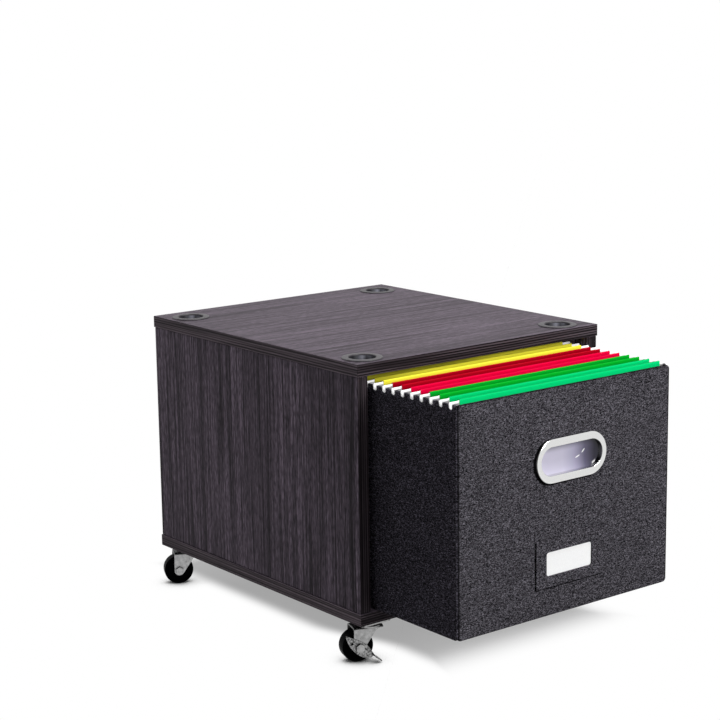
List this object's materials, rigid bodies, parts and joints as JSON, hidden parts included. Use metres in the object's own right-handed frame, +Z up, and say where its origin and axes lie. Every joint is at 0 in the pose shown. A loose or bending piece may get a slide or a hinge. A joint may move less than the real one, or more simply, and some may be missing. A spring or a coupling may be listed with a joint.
{
  "type": "rolling file cabinet",
  "caption": "Low wood-grain file cube on swivel casters, open at the front, with a loose cloth-covered box that pulls out and holds hanging folders.",
  "frame": {"origin": "on the floor under the middle of the box round the whole object, with the file box pulled out as at rest", "axes": "+Z up, -Y towards the front, where the file box comes out, +X to the right as seen from the front"},
  "size_m": [0.3742, 0.5484, 0.3445],
  "materials": {
    "laminate": "dark charcoal wood-grain laminate, satin",
    "cup_plastic": "moulded dark grey plastic",
    "box_fabric": "heathered charcoal cloth over board",
    "chrome": "polished",
    "milky_plastic": "milky, glossy",
    "card": "white card",
    "zinc": "zinc-plated pressed steel",
    "wheel_black": "black, slightly glossy",
    "light_green": "coloured card stock",
    "green": "coloured card stock",
    "crimson": "coloured card stock",
    "dark_red": "coloured card stock",
    "yellow": "coloured card stock",
    "rod_white": "white moulded plastic"
  },
  "bodies": {
    "case": {"bottom_panel": "laminate", "top_panel": "laminate", "left_side_panel": "laminate", "right_side_panel": "laminate", "back_panel": "laminate", "stacking_cup_front_left": "cup_plastic", "stacking_cup_front_right": "cup_plastic", "stacking_cup_rear_left": "cup_plastic", "stacking_cup_rear_right": "cup_plastic", "caster_plate_front_left": "zinc", "kingpin_front_left": "zinc", "caster_plate_front_right": "zinc", "kingpin_front_right": "zinc", "caster_plate_rear_left": "zinc", "kingpin_rear_left": "zinc", "caster_plate_rear_right": "zinc", "kingpin_rear_right": "zinc"},
    "file_box": {"box_front": "box_fabric", "box_back": "box_fabric", "box_left": "box_fabric", "box_right": "box_fabric", "box_base": "box_fabric", "handle_ring": "chrome", "handle_dish": "milky_plastic", "label_frame": "box_fabric"},
    "label_card": {"label_card": "card"},
    "fork_front_left": {"fork_front_left": "zinc", "axle_front_left": "zinc"},
    "wheel_front_left": {"wheel_front_left": "wheel_black"},
    "brake_lever_front_left": {"brake_lever_front_left": "zinc"},
    "fork_front_right": {"fork_front_right": "zinc", "axle_front_right": "zinc"},
    "wheel_front_right": {"wheel_front_right": "wheel_black"},
    "brake_lever_front_right": {"brake_lever_front_right": "zinc"},
    "fork_rear_left": {"fork_rear_left": "zinc", "axle_rear_left": "zinc"},
    "wheel_rear_left": {"wheel_rear_left": "wheel_black"},
    "fork_rear_right": {"fork_rear_right": "zinc", "axle_rear_right": "zinc"},
    "wheel_rear_right": {"wheel_rear_right": "wheel_black"},
    "folder_1": {"folder_1_sheet": "light_green", "folder_1_front_rod": "rod_white", "folder_1_rear_rod": "rod_white"},
    "folder_2": {"folder_2_sheet": "green", "folder_2_front_rod": "rod_white", "folder_2_rear_rod": "rod_white"},
    "folder_3": {"folder_3_sheet": "crimson", "folder_3_front_rod": "rod_white", "folder_3_rear_rod": "rod_white"},
    "folder_4": {"folder_4_sheet": "dark_red", "folder_4_front_rod": "rod_white", "folder_4_rear_rod": "rod_white"},
    "folder_5": {"folder_5_sheet": "yellow", "folder_5_front_rod": "rod_white", "folder_5_rear_rod": "rod_white"},
    "folder_6": {"folder_6_sheet": "yellow", "folder_6_front_rod": "rod_white", "folder_6_rear_rod": "rod_white"}
  },
  "joints": [
    {"name": "file_box_slide", "type": "slide", "parent": "case", "child": "file_box", "axis": [0, -1, 0], "range_m": [-0.1355, 0.3]},
    {"name": "label_card_slide", "type": "slide", "parent": "file_box", "child": "label_card", "axis": [-1, 0, 0], "range_m": [0, 0.095]},
    {"name": "swivel_front_left", "type": "hinge", "parent": "case", "child": "fork_front_left", "pos_m": [-0.154, -0.1138, 0.04], "axis": [0, 0, 1], "continuous": true},
    {"name": "wheel_spin_front_left", "type": "hinge", "parent": "fork_front_left", "child": "wheel_front_left", "pos_m": [-0.16808, -0.10923, 0.0182], "axis": [-0.309, -0.9511, 0], "continuous": true},
    {"name": "brake_front_left", "type": "hinge", "parent": "fork_front_left", "child": "brake_lever_front_left", "pos_m": [-0.16808, -0.10923, 0.0182], "axis": [-0.309, -0.9511, 0], "range_deg": [0, 30]},
    {"name": "swivel_front_right", "type": "hinge", "parent": "case", "child": "fork_front_right", "pos_m": [0.154, -0.1138, 0.04], "axis": [0, 0, 1], "continuous": true},
    {"name": "wheel_spin_front_right", "type": "hinge", "parent": "fork_front_right", "child": "wheel_front_right", "pos_m": [0.16808, -0.10923, 0.0182], "axis": [-0.309, 0.9511, 0], "continuous": true},
    {"name": "brake_front_right", "type": "hinge", "parent": "fork_front_right", "child": "brake_lever_front_right", "pos_m": [0.16808, -0.10923, 0.0182], "axis": [-0.309, 0.9511, 0], "range_deg": [0, 30]},
    {"name": "swivel_rear_left", "type": "hinge", "parent": "case", "child": "fork_rear_left", "pos_m": [-0.154, 0.2522, 0.04], "axis": [0, 0, 1], "continuous": true},
    {"name": "wheel_spin_rear_left", "type": "hinge", "parent": "fork_rear_left", "child": "wheel_rear_left", "pos_m": [-0.16741, 0.25845, 0.0182], "axis": [-0.4226, -0.9063, 0], "continuous": true},
    {"name": "swivel_rear_right", "type": "hinge", "parent": "case", "child": "fork_rear_right", "pos_m": [0.154, 0.2522, 0.04], "axis": [0, 0, 1], "continuous": true},
    {"name": "wheel_spin_rear_right", "type": "hinge", "parent": "fork_rear_right", "child": "wheel_rear_right", "pos_m": [0.16741, 0.25845, 0.0182], "axis": [-0.4226, 0.9063, 0], "continuous": true},
    {"name": "folder_1_slide", "type": "slide", "parent": "file_box", "child": "folder_1", "axis": [0, 1, 0], "range_m": [-0.0004, 0.006]},
    {"name": "folder_2_slide", "type": "slide", "parent": "file_box", "child": "folder_2", "axis": [0, 1, 0], "range_m": [-0.006, 0.006]},
    {"name": "folder_3_slide", "type": "slide", "parent": "file_box", "child": "folder_3", "axis": [0, 1, 0], "range_m": [-0.006, 0.006]},
    {"name": "folder_4_slide", "type": "slide", "parent": "file_box", "child": "folder_4", "axis": [0, 1, 0], "range_m": [-0.006, 0.006]},
    {"name": "folder_5_slide", "type": "slide", "parent": "file_box", "child": "folder_5", "axis": [0, 1, 0], "range_m": [-0.006, 0.006]},
    {"name": "folder_6_slide", "type": "slide", "parent": "file_box", "child": "folder_6", "axis": [0, 1, 0], "range_m": [-0.006, 0.006]}
  ]
}
